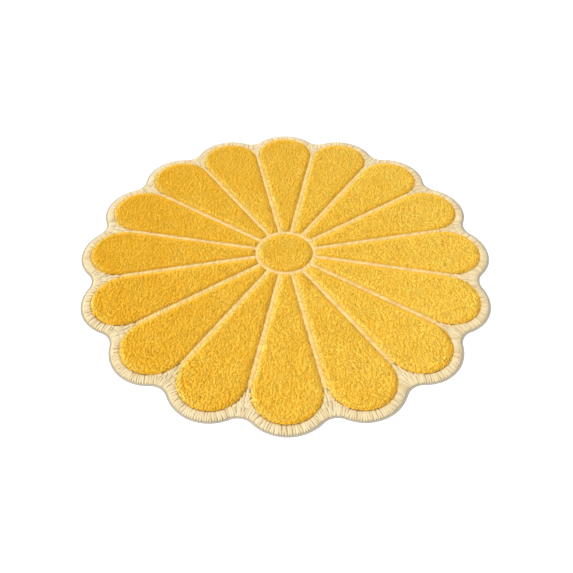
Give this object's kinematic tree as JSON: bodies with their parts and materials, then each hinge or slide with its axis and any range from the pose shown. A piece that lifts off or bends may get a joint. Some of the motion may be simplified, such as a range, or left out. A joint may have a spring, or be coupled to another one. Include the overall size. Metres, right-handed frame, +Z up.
{
  "type": "flower-shaped bath mat",
  "caption": "Flat round bath mat in the shape of a flower, with low yellow pile petals between raised cream dividers, a stitched scalloped border and a non-slip backing.",
  "frame": {"origin": "middle of the mat's underside, on the floor", "axes": "+Z up from the floor; -Y towards the viewer, along the middle of one petal; +X to the viewer's right"},
  "size_m": [0.6, 0.6, 0.0065],
  "materials": {
    "backing": "matte",
    "cream_cloth": "stitched yarn",
    "yellow_pile": "short tufted pile"
  },
  "bodies": {
    "root": {"backing": "backing", "ground": "cream_cloth", "petal_01": "yellow_pile", "petal_02": "yellow_pile", "petal_03": "yellow_pile", "petal_04": "yellow_pile", "petal_05": "yellow_pile", "petal_06": "yellow_pile", "petal_07": "yellow_pile", "petal_08": "yellow_pile", "petal_09": "yellow_pile", "petal_10": "yellow_pile", "petal_11": "yellow_pile", "petal_12": "yellow_pile", "petal_13": "yellow_pile", "petal_14": "yellow_pile", "petal_15": "yellow_pile", "petal_16": "yellow_pile", "centre": "yellow_pile"}
  },
  "joints": []
}
